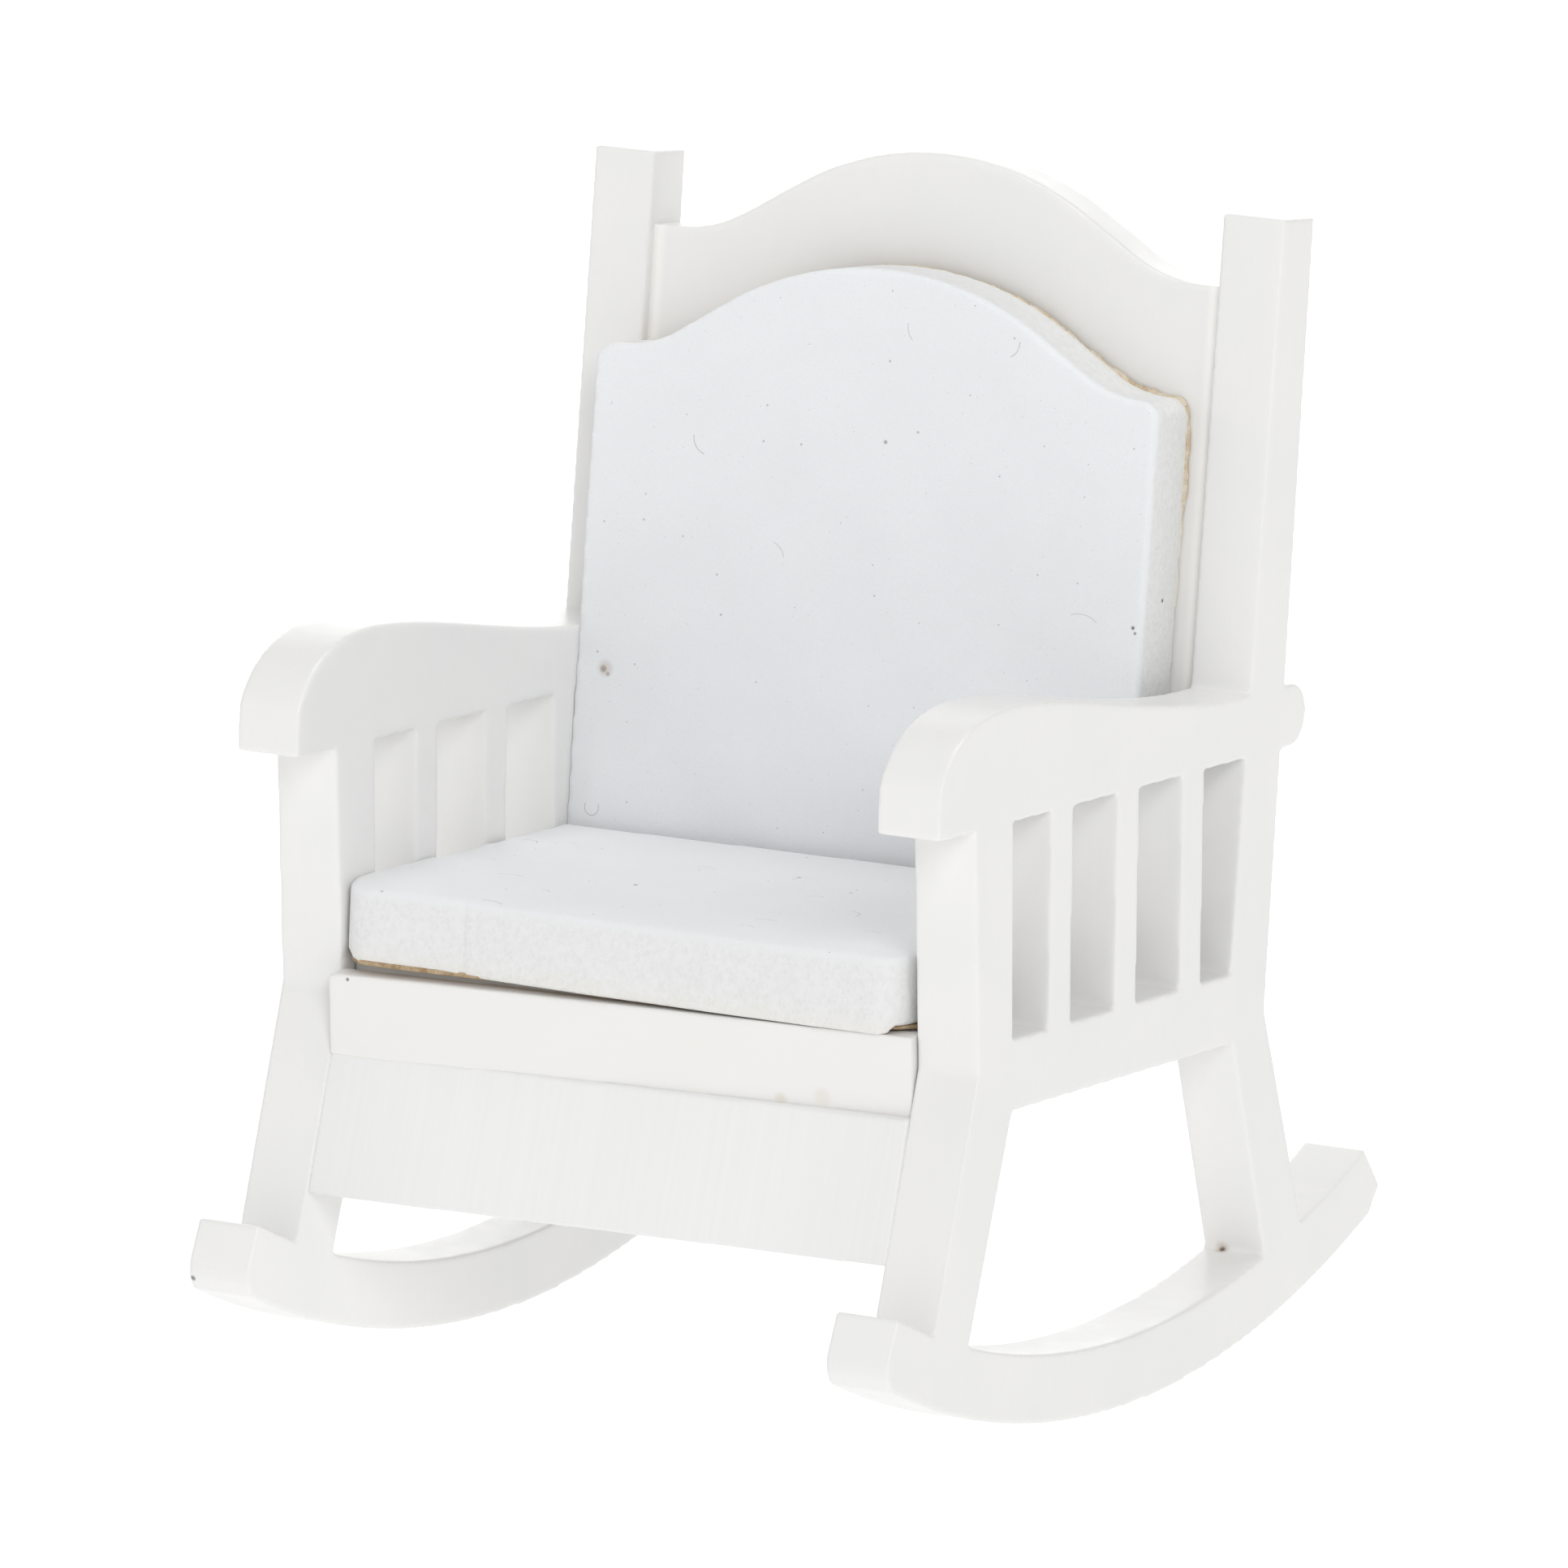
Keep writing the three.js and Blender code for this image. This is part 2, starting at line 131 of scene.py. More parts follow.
class Finish:
    """A finish under construction, with the place on the object, in metres, ready to read."""

    def __init__(self, name):
        self.material = bpy.data.materials.new(name)
        self.material.use_nodes = True
        self.tree = self.material.node_tree
        self.tree.nodes.clear()
        self.place = self.node("ShaderNodeTexCoord", output="Object")
        self.x, self.y, self.z = (self.node("ShaderNodeSeparateXYZ", sockets={"Vector": self.place}, output=axis)
                                  for axis in "XYZ")

    def node(self, kind, settings=None, sockets=None, output=0):
        node = self.tree.nodes.new(kind)
        for key, value in (settings or {}).items():
            setattr(node, key, value)
        for key, value in (sockets or {}).items():
            if isinstance(value, Wire):
                self.tree.links.new(value.socket, node.inputs[key])
            else:
                node.inputs[key].default_value = value
        return Wire(self, node.outputs[output]) if node.outputs else None

    def flat_place(self, across, up):
        return self.node("ShaderNodeCombineXYZ", sockets={"X": across, "Y": up})

    def noise(self, size, detail=3, roughness=0.5, drawn=(1, 1, 1)):
        """Cloudy variation about size millimetres across, drawn out along the axes whose share is under 1."""
        place = self.node("ShaderNodeMapping", sockets={"Vector": self.place, "Scale": drawn})
        return self.node("ShaderNodeTexNoise", sockets={
            "Vector": place, "Scale": 1 / (size * MM), "Detail": detail, "Roughness": roughness})

    def fade(self, value, start, end, low=0, high=1):
        """Low before start, high after end, smooth between."""
        return self.node("ShaderNodeMapRange", {"interpolation_type": "SMOOTHSTEP"}, {
            "Value": value, "From Min": start, "From Max": end, "To Min": low, "To Max": high})

    def blend(self, share, under, over):
        """Colour under, covered by colour over where share is 1."""
        factor, first, second, result = 0, 6, 7, 2
        return self.node("ShaderNodeMix", {"data_type": "RGBA"}, {factor: share, first: under, second: over}, result)

    def spot(self, at, radius, soft=0.5):
        """1 within radius millimetres of a point, fading out over the soft share of it."""
        away = self.node("ShaderNodeVectorMath", {"operation": "DISTANCE"}, {
            0: self.place, 1: [value * MM for value in at]}, "Value")
        return self.fade(away, radius * (1 - soft) * MM, radius * (1 + soft) * MM, 1, 0)

    def specks(self, place, spacing, radius, share):
        """Small round flecks, one in each cell of about spacing millimetres for a share of the cells."""
        settings = {"voronoi_dimensions": "2D"}
        sockets = {"Vector": place, "Scale": 1 / (spacing * MM)}
        away = self.node("ShaderNodeTexVoronoi", settings, sockets, "Distance")
        pick = self.node("ShaderNodeTexVoronoi", settings, sockets, "Color")
        chance = self.node("ShaderNodeSeparateColor", sockets={"Color": pick}, output="Red")
        size = self.node("ShaderNodeSeparateColor", sockets={"Color": pick}, output="Green")
        return away.below((size * 0.7 + 0.5) * (radius / spacing)) * chance.below(share)

    def fibre(self, across, up, at, radius, middle, sweep, width=0.045):
        """A curved hair: part of a circle about a point, sweep degrees long and centred on the middle direction."""
        beside = across - at[0] * MM
        above = up - at[1] * MM
        reach = (beside * beside + above * above).root()
        line = self.fade(abs(reach - radius * MM), width * 0.4 * MM, width * MM, 1, 0)
        turn = math.radians(middle)
        along = beside * math.cos(turn) + above * math.sin(turn)
        return line * along.above(reach * math.cos(math.radians(sweep / 2)))

    def bump(self, height, depth, under=None):
        """Relief depth millimetres deep where height runs from 0 to 1."""
        sockets = {"Height": height, "Strength": 1, "Distance": depth * MM}
        if under is not None:
            sockets["Normal"] = under
        return self.node("ShaderNodeBump", sockets=sockets)

    def done(self, colour, roughness, normal, **constants):
        sockets = {"Base Color": colour, "Roughness": roughness, "Normal": normal}
        sockets.update({key.replace("_", " "): value for key, value in constants.items()})
        shader = self.node("ShaderNodeBsdfPrincipled", sockets=sockets)
        self.node("ShaderNodeOutputMaterial", sockets={"Surface": shader})
        return self.material


def satin_paint(name, tone, shadow, strokes=(1, 1, 0.06), stroke_share=0.35, cloud_share=0.7, stroke_size=0.32,
                post_highlight_band=None, spots=()):
    """Thick white satin paint: brush strokes, slow thick and thin places, and a few small pits and marks.

    Strokes is the share of each axis that the brush's lines keep. The band beside a post is where, from the middle,
    in millimetres, lighter paint starts and is whole: a painted highlight that stands in for the light on the paint
    growing thicker into a fillet there. A spot is a point in millimetres, a radius, a colour and how strongly it
    shows; each spot is also a shallow pit, and the dark spots' colour is painted shade inside holes."""
    paint = Finish(name)
    cloudy = paint.noise(9, 3)
    stroke = paint.noise(stroke_size, 3, 0.5, drawn=strokes)
    broad = paint.noise(1.6, 2, 0.5, drawn=strokes)
    fine = paint.noise(0.35, 2)
    colour = paint.blend(paint.fade(cloudy, 0.3, 0.72) * cloud_share, tone, shadow)
    colour = paint.blend(paint.fade(stroke, 0.2, 0.85) * stroke_share, colour, shadow)
    # Lighter paint in a band beside each post: a painted highlight where light catches the thickened paint at the
    # joint.
    if post_highlight_band:
        highlight_beside_post = paint.fade(abs(paint.x), post_highlight_band[0] * MM, post_highlight_band[1] * MM)
        colour = paint.blend(highlight_beside_post, colour, tint(244, 243, 240))
    pits = 0
    # Each spot keeps its own colour: the tan and cream ones are bare wood and real stains, and the dark and grey
    # ones are painted shade inside holes and pits.
    for at, radius, stain, strength in spots:
        mark = paint.spot(at, radius)
        colour = paint.blend(mark * strength, colour, stain)
        pits = mark.either(pits)
    relief = paint.bump(cloudy, 0.16)
    relief = paint.bump(broad * 0.85 + stroke * 0.15, 0.02, relief)
    relief = paint.bump(fine, 0.006, relief)
    if spots:
        relief = paint.bump(1 - pits, 0.035, relief)
    roughness = paint.fade(cloudy * 0.5 + broad * 0.5, 0.3, 0.7, 0.28, 0.4) + pits
    return paint.done(colour, roughness, relief, IOR=PAINT_IOR)


def build_paints():
    white = tint(236, 235, 233)
    cool = tint(232, 232, 231)
    cream = tint(236, 235, 233)
    # Dark brown for small holes in the paint, at the feet and in inner corners: painted shade inside each hole.
    hole_shade = tint(70, 60, 50)
    tan = tint(176, 150, 118)
    return {
        "left": satin_paint("left_frame_white_paint", white, cool, spots=(
            ((-29.7, -39.1, 10.8), 0.22, hole_shade, 0.7),
            ((-24.8, -24.8, 31.5), 0.14, hole_shade, 0.6),
            # Grey spots on the left arm's front: painted shade inside small pits in the paint.
            ((-28.8, -30.6, 56.3), 0.2, tint(150, 146, 140), 0.5),
            ((-26.2, -30.9, 55.6), 0.15, tint(150, 146, 140), 0.4))),
        "right": satin_paint("right_frame_white_paint", white, cool, spots=(
            ((26.4, 20.1, 6.6), 0.55, tan, 0.45),
            ((26.45, 20.0, 6.6), 0.26, hole_shade, 0.85),
            ((24.75, 20.9, 75.3), 0.28, tint(206, 202, 196), 0.5))),
        # The back board's lighter band beside each post is a painted highlight.
        "board": satin_paint("back_board_white_paint", white, cool, stroke_share=0.25, post_highlight_band=(23.4, 24.2)),
        "rail": satin_paint("front_rail_cream_paint", cream, tint(234, 233, 230), (0.08, 1, 1), 0.15, spots=(
            ((13.7, -26.5, 27.3), 0.5, tint(216, 208, 192), 0.45),
            ((17.2, -26.5, 27.9), 0.7, tint(220, 214, 200), 0.35),
            ((-23.2, -27, 32.1), 0.14, hole_shade, 0.8),
            ((2, -26.7, 29), 0.1, tint(120, 116, 110), 0.5))),
        "apron": satin_paint("apron_white_paint", tint(236, 236, 235), tint(231, 231, 231),
                              strokes=(1, 0.02, 0.02), stroke_share=0.5, cloud_share=0.15, stroke_size=0.4),
        "seat": satin_paint("seat_board_white_paint", white, cool, (1, 0.08, 1)),
    }


def cushion_finish(name, out_of_face, face_origin, flat_axes, skin_edge, face_tones, edge_highlight_share, fibres, spots):
    """One finish for a slab cushion: a smooth, faintly blue skin on its face, and open foam on its cut edges.

    Skin_edge is how far below the face, in millimetres, the skin starts and is whole. A fibre is its centre on the
    face, its radius, its middle direction and sweep in degrees, and how strongly it shows."""
    cushion = Finish(name)
    away = cushion.node("ShaderNodeVectorMath", {"operation": "SUBTRACT"}, {
        0: cushion.place, 1: [value * MM for value in face_origin]})
    depth = cushion.node("ShaderNodeVectorMath", {"operation": "DOT_PRODUCT"}, {
        0: away, 1: list(out_of_face)}, "Value")
    ragged = cushion.noise(1.4, 3)
    skin = cushion.fade(depth + (ragged - 0.5) * (0.5 * MM), skin_edge[0] * MM, skin_edge[1] * MM)
    across, up = (getattr(cushion, axis) for axis in flat_axes)

    cells = cushion.node("ShaderNodeTexVoronoi", {}, {"Vector": cushion.place, "Scale": 1 / (0.42 * MM)}, "Distance")
    pores = cushion.fade(cells, 0.15, 0.6)
    mottle = cushion.noise(0.6, 4, 0.65)
    soft = cushion.noise(7, 2)
    foam = cushion.blend(cushion.fade(mottle, 0.34, 0.68), tint(226, 227, 226), tint(231, 231, 231))
    # Darker at the middle of each pore: painted shade in the pore's hollow.
    foam = cushion.blend((1 - pores) * 0.1, foam, tint(212, 216, 213))

    face = cushion.blend(cushion.fade(soft, 0.3, 0.7), *face_tones[:2])
    grain = cushion.noise(0.16, 2, 0.6)
    face = cushion.blend(cushion.fade(grain, 0.35, 0.7) * 0.3, face, face_tones[2])
    flat = cushion.flat_place(across, up)
    faint = cushion.specks(flat, 1.3, 0.055, 0.35)
    dirt = cushion.specks(flat, 3.4, 0.085, 0.3)
    on_top = depth.above(-0.45 * MM)
    face = cushion.blend(faint * on_top * 0.3, face, tint(176, 178, 182))
    face = cushion.blend(dirt * on_top * 0.45, face, tint(110, 108, 106))
    # A thin light cream line just below the face's edge, on the left part only: a painted highlight on the skin's
    # cut edge.
    edge_highlight = cushion.fade(depth, -0.55 * MM, -0.35 * MM) * cushion.fade(depth, -0.28 * MM, -0.12 * MM, 1, 0)
    edge_highlight = edge_highlight * cushion.fade(cushion.x, -12 * MM, -2 * MM, 1, 0)
    face = cushion.blend(edge_highlight * edge_highlight_share, face, tint(244, 242, 236))
    glue = cushion.fade(depth + (mottle - 0.5) * (3 * MM), -5.9 * MM, -4.4 * MM, 1, 0)
    foam = cushion.blend(glue * 0.25, foam, tint(234, 228, 214))

    colour = cushion.blend(skin, foam, face)
    for at, radius, middle, sweep, strength in fibres:
        colour = cushion.blend(cushion.fibre(across, up, at, radius, middle, sweep) * on_top * strength,
                               colour, tint(120, 118, 118))
    # Dark dots at pin holes are painted shade inside the holes; the brown spots and their pale halo are real stains.
    for at, radius, stain, strength in spots:
        colour = cushion.blend(cushion.spot(at, radius) * strength, colour, stain)

    relief = cushion.bump(soft, 0.12)
    relief = cushion.bump(pores * (1 - skin), 0.03, relief)
    relief = cushion.bump(mottle * (1 - skin), 0.03, relief)
    relief = cushion.bump(grain * skin, 0.006, relief)
    return cushion.done(colour, 0.95 - skin * 0.3, relief, IOR=FOAM_IOR)


def tan_board(name, light, deep, fades_below=None):
    """The card and glue behind a cushion: ochre to brown, paler where the glue has thinned."""
    card = Finish(name)
    streak = card.noise(1.1, 4, 0.7)
    crumb = card.noise(0.25, 3, 0.6)
    colour = card.blend(card.fade(streak, 0.3, 0.7), light, deep)
    colour = card.blend(card.fade(crumb, 0.55, 0.75) * 0.6, colour, tint(122, 92, 62))
    if fades_below:
        thin = card.fade(card.z + (streak - 0.5) * (6 * MM), fades_below[0] * MM, fades_below[1] * MM, 1, 0)
        colour = card.blend(thin * 0.95, colour, tint(230, 226, 216))
    relief = card.bump(streak, 0.1)
    relief = card.bump(crumb, 0.05, relief)
    return card.done(colour, 0.8 + crumb * 0.15, relief, IOR=CARD_IOR)


# Working on pieces

def take(*pieces):
    bpy.ops.object.select_all(action="DESELECT")
    for piece in pieces:
        piece.select_set(True)
    bpy.context.view_layer.objects.active = pieces[0]
    return pieces[0]


def blank_of(node):
    """A merged copy of a CAD node's mesh, to be worked on."""
    blank = bpy.data.objects.new(f"{node}_blank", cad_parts[node].data.copy())
    bpy.context.scene.collection.objects.link(blank)
    blank.data.materials.clear()
    take(blank)
    bpy.ops.object.mode_set(mode="EDIT")
    bpy.ops.mesh.select_all(action="SELECT")
    bpy.ops.mesh.remove_doubles(threshold=MERGE)
    bpy.ops.object.mode_set(mode="OBJECT")
    return blank


def joined(name, blanks):
    piece = take(*blanks)
    if len(blanks) > 1:
        bpy.ops.object.join()
    piece.name = piece.data.name = name
    return piece


def apply(piece, kind, **settings):
    take(piece)
    modifier = piece.modifiers.new(kind.lower(), kind)
    for key, value in settings.items():
        setattr(modifier, key, value)
    bpy.ops.object.modifier_apply(modifier=modifier.name)


def fuse(piece, film, grain, rounding, kept=1):
    """Swells a piece by a thin film, so that what touches runs together, and rounds its edges and inner corners."""
    apply(piece, "DISPLACE", strength=film * MM, mid_level=0)
    apply(piece, "REMESH", mode="VOXEL", voxel_size=grain * MM, adaptivity=0)
    apply(piece, "SMOOTH", factor=0.5, iterations=rounding)
    if kept < 1:
        apply(piece, "DECIMATE", ratio=kept)


def trimmed(piece, point, outward):
    """Cuts off what lies outward of a plane, and closes the cut."""
    take(piece)
    bpy.ops.object.mode_set(mode="EDIT")
    bpy.ops.mesh.select_all(action="SELECT")
    bpy.ops.mesh.bisect(plane_co=point * MM, plane_no=outward, clear_outer=True, use_fill=True)
    bpy.ops.object.mode_set(mode="OBJECT")


def moved(piece, shift):
    """Moves every vertex by what shift gives for its place, all in millimetres."""
    for vertex in piece.data.vertices:
        vertex.co += shift(vertex.co / MM) * MM
    piece.data.update()


def placed(piece, finish, slot, *nodes):
    take(piece)
    bpy.ops.object.shade_smooth()
    piece.data.materials.clear()
    piece.data.materials.append(finish)
    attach(piece, "root")
    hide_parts(*nodes)
    return piece


def smoothly(value, start, end):
    share = min(max((value - start) / (end - start), 0), 1)
    return share * share * (3 - 2 * share)


def cosine_dent(distance, radius):
    return 0.5 + 0.5 * math.cos(math.pi * min(abs(distance) / radius, 1))


back_up = Vector((0, math.sin(BACK_LEAN), math.cos(BACK_LEAN)))
back_front = Vector((0, -math.cos(BACK_LEAN), math.sin(BACK_LEAN)))
seat_up = Vector((0, math.sin(SEAT_PITCH), math.cos(SEAT_PITCH)))
cushion_across = Vector((math.cos(CUSHION_SKEW), 0, 0)) - math.sin(CUSHION_SKEW) * back_front
cushion_front = Vector((math.sin(CUSHION_SKEW), 0, 0)) + math.cos(CUSHION_SKEW) * back_front
cushion_foot = BACK_ORIGIN + CUSHION_EDGE_X * Vector((1, 0, 0)) + (CUSHION_GLUE - BACK_RECESS) * back_front


def unmoved(at):
    return Vector()


# Woodwork

def side_frame(side, finish):
    nodes = [f"{side}_{member}" for member in SIDE_MEMBERS]
    piece = joined(f"{side}_side_frame_paint", [blank_of(node) for node in nodes])
    fuse(piece, FRAME_FILM, grain=0.2, rounding=9, kept=0.45)
    return placed(piece, finish, "painted_wood", *nodes)


def back_board(finish):
    """The board, run a little way into each post so that the paint closes the joint."""
    piece = joined("back_board_paint", [blank_of("back_board")])
    blends_from, blends_to = 20, 24.7
    moved(piece, lambda at: Vector((
        math.copysign(BOARD_RUN_IN * smoothly(abs(at.x), blends_from, blends_to), at.x), 0, 0)))
    fuse(piece, BOARD_FILM, grain=0.28, rounding=5, kept=0.7)
    for side in (-1, 1):
        trimmed(piece, Vector((side * (INNER_HALF + BOARD_CUT), 0, 0)), (side, 0, 0))
    return placed(piece, finish, "painted_wood", "back_board")


def cross_member(node, grain, rounding, finish, shift):
    """A member between the side frames, pushed up to its neighbours by shift so that the paint bridges the joint."""
    piece = joined(f"{node}_paint", [blank_of(node)])
    moved(piece, shift)
    fuse(piece, BOARD_FILM, grain, rounding)
    return placed(piece, finish, "painted_wood", node)


def rail_shift(at):
    """Closes the left end and the underside; the right end keeps its open crack above the apron."""
    left_reach, right_reach, under_reach, middle_z = -0.3, 0.02, -0.2, 29.7
    return Vector((left_reach if at.x < 0 else right_reach, 0, under_reach if at.z < middle_z else 0))


def apron_shift(at):
    """Closes both ends and the top edge, which is glued under the rail."""
    end_reach, top_reach, middle_z = 0.3, 0.2, 20
    return Vector((-end_reach if at.x < 0 else end_reach, 0, top_reach if at.z > middle_z else 0))


# Cushions

def seat_cushion(finish):
    """A slab of foam with a stuck-on skin, its top front edge rolled over, its lower lip let down over the card."""
    piece = joined("seat_cushion", [blank_of("seat_cushion_foam"), blank_of("seat_cushion_face")])
    fuse(piece, CUSHION_FILM, grain=0.3, rounding=5)
    crease_x, crease_radius, crease_depth = -13.8, 0.5, 0.16
    front_y = SEAT_CUSHION_FRONT_Y

    def pressed(at):
        height = (at - Vector((0, 0, SEAT_TOP))).dot(seat_up)
        upper = smoothly(height, 1, 5.5)
        roll = (1 - smoothly(at.y, front_y - 0.5, front_y + 5)) ** 2
        crown = 0.18 * cosine_dent(at.x, 24) * cosine_dent(at.y + 9, 18)
        lump = 0.1 * math.sin(at.x * 0.55 + 1) * math.cos(at.y * 0.4) * (1 - smoothly(at.y, -8, 0))
        lip = (1 - smoothly(height, 0.5, 2)) * (1 - smoothly(at.y, front_y + 0.3, front_y + 1))
        foot = (0.55 + 0.2 * smoothly(at.x, -22, 5)) * lip
        front = 1 - smoothly(at.y, front_y, front_y + 1.5)
        crease = crease_depth * cosine_dent(at.x - crease_x, crease_radius) * front
        wave = 0.09 * math.sin(at.x * 0.35 + 0.6) * front
        beside_leg = 0.38 * (1 - smoothly(at.x, -22.6, -19)) * (1 - smoothly(at.y, -16, -8))
        settled = upper * (lump * 0.5 - crown * 0.3 - 0.45 * roll - 0.04)
        return Vector((-beside_leg, crease + max(wave, 0), settled - foot))

    moved(piece, pressed)
    placed(piece, finish, "cushion_face", "seat_cushion_foam", "seat_cushion_face")
    return piece


def back_cushion(finish):
    """The foam slab against the board, lightly hollowed, seated on its glue and drawn aside from the arm."""
    piece = joined("back_cushion", [blank_of("back_cushion_foam"), blank_of("back_cushion_face")])
    fuse(piece, CUSHION_FILM, grain=0.3, rounding=3)

    def pressed(at):
        away = at - cushion_foot
        depth = away.dot(cushion_front)
        height = away.dot(back_up)
        across = away.dot(cushion_across)
        front = smoothly(depth, 2, 5.5)
        hollow = 0.12 * cosine_dent(across + 23, 26) * cosine_dent(height - 4, 28)
        dent = front * (hollow + 0.04 * math.sin(across * 0.5) * math.cos(height * 0.4) + 0.04)
        seated = 0.4 * (1 - smoothly(depth, 0.4, 2))
        beside_arm = (0.1 + 0.3 * smoothly(depth, 4.9, 5.8)) * (1 - smoothly(across + CUSHION_WIDTH, 0.2, 1.5))
        return -(dent + seated) * cushion_front - beside_arm * cushion_across

    moved(piece, pressed)
    placed(piece, finish, "cushion_face", "back_cushion_foam", "back_cushion_face")
    return piece


def back_card_reach(at):
    """How far the glue spreads the card's edge: furthest at the right shoulder, and drawn back low down."""
    shoulder = 0.35 * smoothly(at.z, 45, 66) * smoothly(at.x, 5, 22)
    drawn_back = 0.4 * (1 - smoothly(at.z, 53, 61))
    return 0.1 + shoulder - drawn_back


def seat_card_reach(at):
    return 0.1


def seat_card_shift(at):
    """Lets the front edge of the seat card down at the left, and draws it back under the lip at the right."""
    left = 1 - smoothly(at.x, -22, 8)
    front = 1 - smoothly(at.y, -25, -22)
    return Vector((0, (0.9 * (1 - left) - 0.1) * front, -0.3 * left * front))


def torn_card(node, finish, reach, sag):
    """A cushion's tan backing, its edge spread unevenly by the glue."""
    piece = joined(f"{node}_card", [blank_of(node)])
    fuse(piece, CARD_FILM, grain=0.26, rounding=1)
    low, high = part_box(node)
    middle = (Vector(low) + Vector(high)) / 2 / MM

    def spread(at):
        ragged = (0.6 + 0.3 * math.sin(at.x * 0.8 + at.z * 0.5) + 0.15 * math.sin(at.x * 1.9 - at.z * 1.7 + 1)
                  + 0.05 * math.sin(at.x * 5.1 + at.z * 4.3))
        away = at - middle
        return reach(at) * max(ragged, 0) * away.normalized() + sag(at)

    moved(piece, spread)
    return placed(piece, finish, "tan_backing", node)


# The set

def stand_camera():
    """A long lens, from the right front and a little above."""
    aim = Vector((1.5, -4.1, 45.34)) * MM
    azimuth, elevation, distance = math.radians(29.42), math.radians(13.313), 1230.4 * MM
    focal_length, sensor_width = 374.5, 36
    nearest, furthest = 0.05, 30
    back = Vector((math.sin(azimuth) * math.cos(elevation), -math.cos(azimuth) * math.cos(elevation),
                   math.sin(elevation)))
    lens = bpy.data.cameras.new("camera")
    lens.lens, lens.sensor_width = focal_length, sensor_width
    lens.clip_start, lens.clip_end = nearest, furthest
    camera = bpy.data.objects.new("camera", lens)
    bpy.context.scene.collection.objects.link(camera)
    camera.location = aim + back * distance
    camera.rotation_euler = (-back).to_track_quat("-Z", "Y").to_euler()
    bpy.context.scene.camera = camera


def soft_light(name, at, aim, size, power):
    lamp = bpy.data.lights.new(name, "AREA")
    lamp.shape, lamp.size, lamp.energy = "DISK", size, power
    light = bpy.data.objects.new(name, lamp)
    bpy.context.scene.collection.objects.link(light)
    light.location = at
    light.rotation_euler = (Vector(aim) - Vector(at)).to_track_quat("-Z", "Y").to_euler()


def lay_floor():
    """White paper that is lit from within as well, so that it stays blank and even."""
    floor_width, glow = 12, 0.9
    bpy.ops.object.select_all(action="DESELECT")
    bpy.ops.mesh.primitive_plane_add(size=floor_width)
    floor = bpy.context.object
    floor.name = "studio_floor"
    paper = Finish("studio_paper")
    haze = paper.noise(400, 2)
    paper.done(paper.blend(haze, tint(124, 124, 124), tint(128, 128, 128)), 0.9 + haze * 0.05,
               paper.bump(haze, 0.1), Emission_Color=(1, 1, 1, 1), Emission_Strength=glow)
    floor.data.materials.append(paper.material)


def light_set():
    """A sky that is brighter near the horizon, and four soft discs of light aimed at the chair."""
    scene = bpy.context.scene
    scene.view_settings.view_transform = "Standard"
    scene.world = bpy.data.worlds.new("studio")
    scene.world.use_nodes = True
    tree = scene.world.node_tree
    outlook = tree.nodes.new("ShaderNodeTexCoord")
    split = tree.nodes.new("ShaderNodeSeparateXYZ")
    height = tree.nodes.new("ShaderNodeMapRange")
    for socket, value in (("From Min", 0.1), ("From Max", 0.9), ("To Min", 0.6), ("To Max", 0.34)):
        height.inputs[socket].default_value = value
    tree.links.new(outlook.outputs["Generated"], split.inputs["Vector"])
    tree.links.new(split.outputs["Z"], height.inputs["Value"])
    tree.links.new(height.outputs["Result"], tree.nodes["Background"].inputs["Strength"])
    tree.nodes["Background"].inputs["Color"].default_value = (1, 1, 1, 1)
    chair_middle = (0, 0, 0.05)
    for name, at, size, power in (
            ("key", (0.88, -0.9, 0.8), 0.7, 6.4), ("fill", (-0.75, -1.0, 0.5), 0.8, 1.4),
            ("top", (0, 0.1, 1.35), 0.8, 5.8), ("rear", (-0.65, 1.15, 0.4), 1.4, 6)):
        soft_light(name, at, chair_middle, size, power)


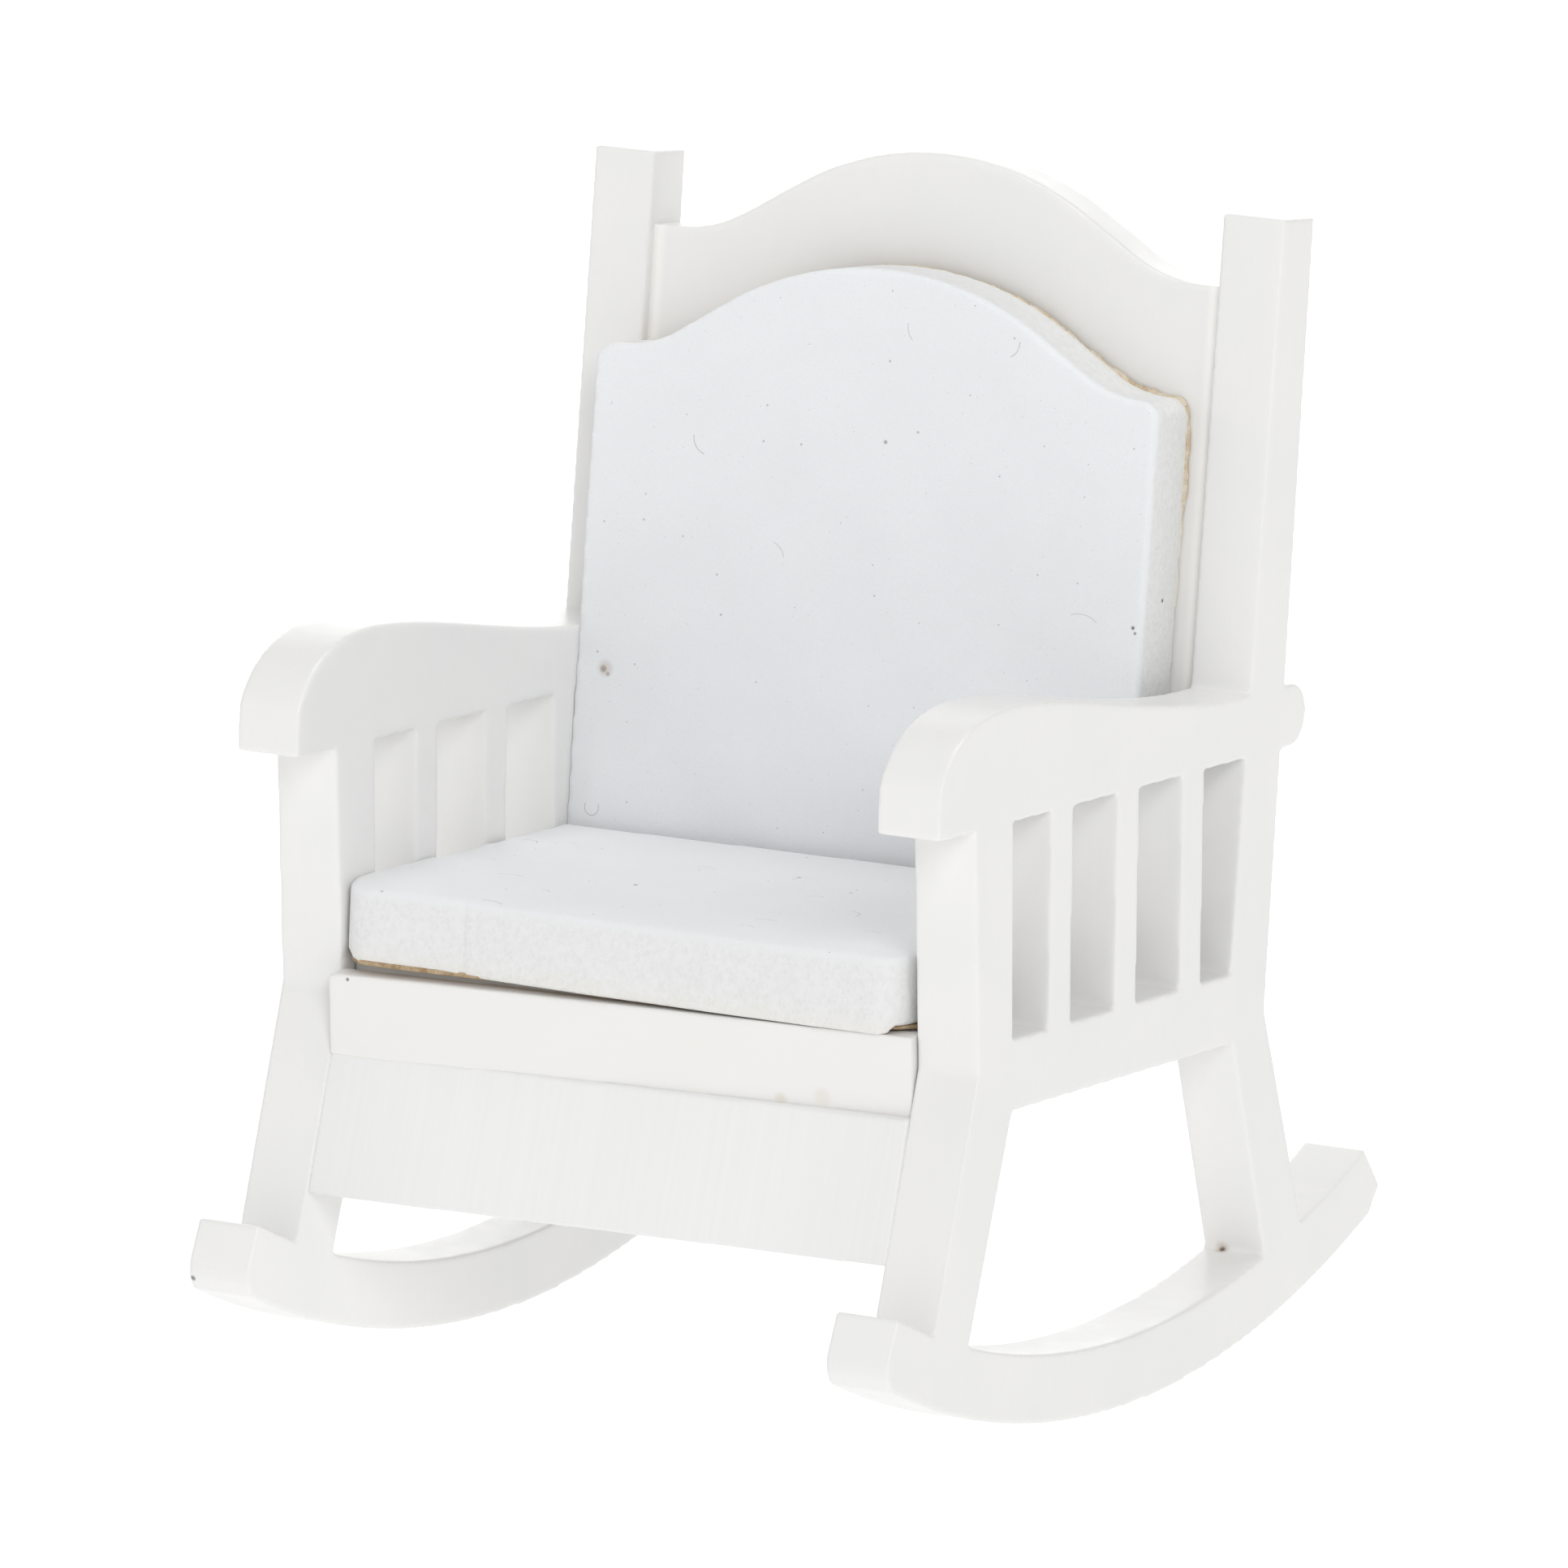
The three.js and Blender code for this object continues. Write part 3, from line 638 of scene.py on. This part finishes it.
def build():
    stand_camera()
    lay_floor()
    light_set()

    paints = build_paints()
    side_frame("left", paints["left"])
    side_frame("right", paints["right"])
    back_board(paints["board"])
    cross_member("seat_front_rail", 0.2, 5, paints["rail"], rail_shift)
    cross_member("front_apron", 0.2, 4, paints["apron"], apron_shift)
    cross_member("seat_board", 0.3, 3, paints["seat"], unmoved)

    # Near-black for pin holes in the cushions: painted shade inside each hole.
    stain, pinhole_shade = tint(150, 132, 116), tint(60, 56, 54)
    seat_cushion(cushion_finish(
        "seat_cushion_skin_and_foam", seat_up, (0, 0, SEAT_TOP + CUSHION_DEPTH), "xy", (-1.3, -0.4),
        (tint(230, 231, 232), tint(232, 233, 234), tint(222, 223, 225)), 0,
        fibres=(
            ((-22.4, -1.9), 0.9, 70, 130, 0.75), ((-15.8, -17), 2.2, 95, 55, 0.6),
            ((-12.1, -26.6), 1.9, 80, 60, 0.55), ((-6.3, -4.2), 1.9, 85, 50, 0.45),
            ((-11, -20.2), 1.2, 60, 60, 0.5), ((11.3, -13.2), 1.6, 40, 90, 0.55),
            ((8.9, -20.4), 1.5, 110, 70, 0.6), ((16.8, -19.6), 1.6, 80, 60, 0.5),
            ((6.9, -9), 1.2, 120, 70, 0.5), ((8.6, -23.5), 1.3, 90, 60, 0.5),
            ((-19.3, -1), 1.1, 100, 60, 0.45), ((2.6, -2.4), 1.2, 150, 80, 0.5)),
        spots=(
            ((-6.6, -12.5, 38.2), 0.2, pinhole_shade, 0.85), ((1.4, -1.6, 37.4), 0.2, pinhole_shade, 0.7),
            ((-21, -25.6, 38.8), 0.14, pinhole_shade, 0.6), ((-16.7, -24.7, 38.7), 0.16, pinhole_shade, 0.6),
            ((-0.7, -19, 38.7), 0.13, pinhole_shade, 0.6), ((-0.5, -11.2, 38.1), 0.13, pinhole_shade, 0.6),
            ((18.6, -26.9, 38.6), 0.17, pinhole_shade, 0.6), ((7.7, -4.8, 37.7), 0.14, pinhole_shade, 0.6),
            ((-12, 1.6, 37.2), 0.12, pinhole_shade, 0.6))))
    # The back cushion's skin tones sit a few levels lighter than the seat cushion's, though it is the same skin: a
    # painted lift against the shade it sits in.
    back_cushion(cushion_finish(
        "back_cushion_skin_and_foam", cushion_front, cushion_foot + CUSHION_DEPTH * cushion_front, "xz",
        (-0.7, -0.25),
        (tint(233, 235, 237), tint(235, 237, 239), tint(225, 228, 230)), 0.8,
        fibres=(
            ((-14.6, 67.2), 1.3, 215, 80, 0.5), ((10, 76.8), 1.2, 330, 70, 0.5),
            ((-22.6, 38.1), 0.6, 270, 240, 0.45), ((17.8, 54.8), 2.2, 80, 60, 0.3),
            ((-9, 58.5), 1.4, 40, 60, 0.35), ((3, 77.2), 1.3, 200, 60, 0.4)),
        spots=(
            ((-22.2, 10.1, 48.8), 0.6, tint(200, 192, 184), 0.5), ((-22.35, 10.1, 48.75), 0.28, stain, 0.75),
            ((-21.95, 10, 48.4), 0.17, stain, 0.55),
            ((0.4, 13.5, 68.3), 0.16, pinhole_shade, 0.6), ((3.1, 13.7, 69.3), 0.13, pinhole_shade, 0.5),
            ((22.3, 12.7, 56.4), 0.14, pinhole_shade, 0.8), ((22.5, 12.7, 56), 0.13, pinhole_shade, 0.8),
            ((23, 16.2, 57.9), 0.16, pinhole_shade, 0.9), ((22.9, 19, 57.3), 0.15, pinhole_shade, 0.7))))

    ochre, umber, sepia = tint(224, 212, 192), tint(196, 176, 146), tint(150, 118, 84)
    torn_card("back_cushion_backing", tan_board("back_card", ochre, umber, fades_below=(60, 68)),
              back_card_reach, unmoved)
    torn_card("seat_cushion_backing", tan_board("seat_card", umber, sepia), seat_card_reach, seat_card_shift)


build()
